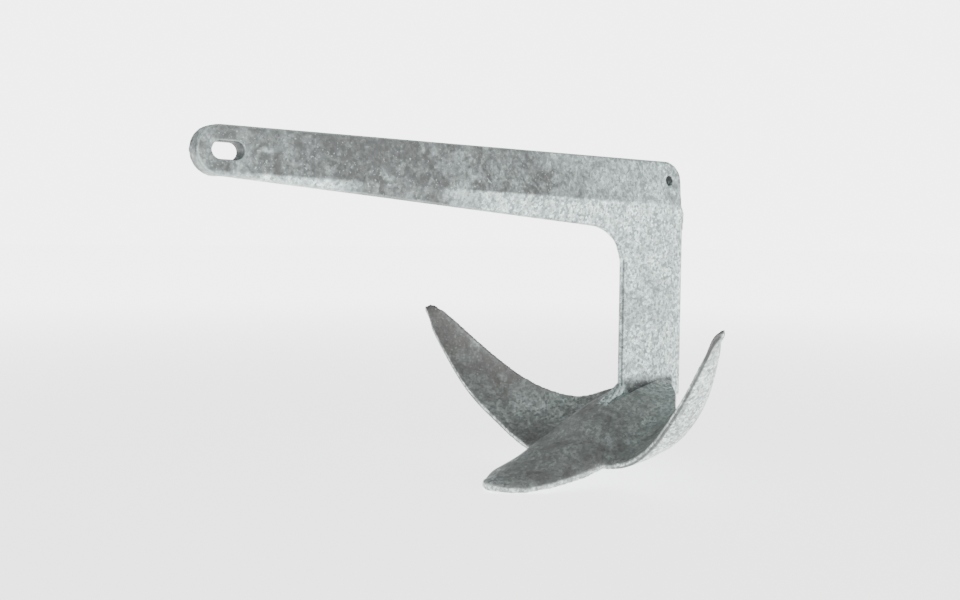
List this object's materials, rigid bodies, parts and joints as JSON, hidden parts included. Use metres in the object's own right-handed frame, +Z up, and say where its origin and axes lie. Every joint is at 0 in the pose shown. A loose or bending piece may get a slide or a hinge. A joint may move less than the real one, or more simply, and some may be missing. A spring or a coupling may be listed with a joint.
{
  "type": "boat anchor",
  "caption": "Claw anchor with a straight tapered arm, a square leg, a broad centre palm and two upswept side flukes, hot-dip galvanised.",
  "frame": {"origin": "centre of the anchor's footprint at the height of the lowest point of the centre palm", "axes": "+X runs forward along the arm towards the shackle slot, +Y is the left-hand fluke side seen from behind the leg, +Z is up through the leg"},
  "size_m": [1.1653, 0.842, 0.6646],
  "materials": {
    "shank": "hot-dip galvanised, matt with fine spangle",
    "palm": "hot-dip galvanised, weathered dull grey",
    "fluke_left": "hot-dip galvanised, dull grey",
    "fluke_right": "hot-dip galvanised, dull grey",
    "toe_weld": "weld metal under the galvanising"
  },
  "bodies": {
    "root": {"shank": "shank", "palm": "palm", "fluke_left": "fluke_left", "fluke_right": "fluke_right", "toe_weld": "toe_weld"}
  },
  "joints": []
}
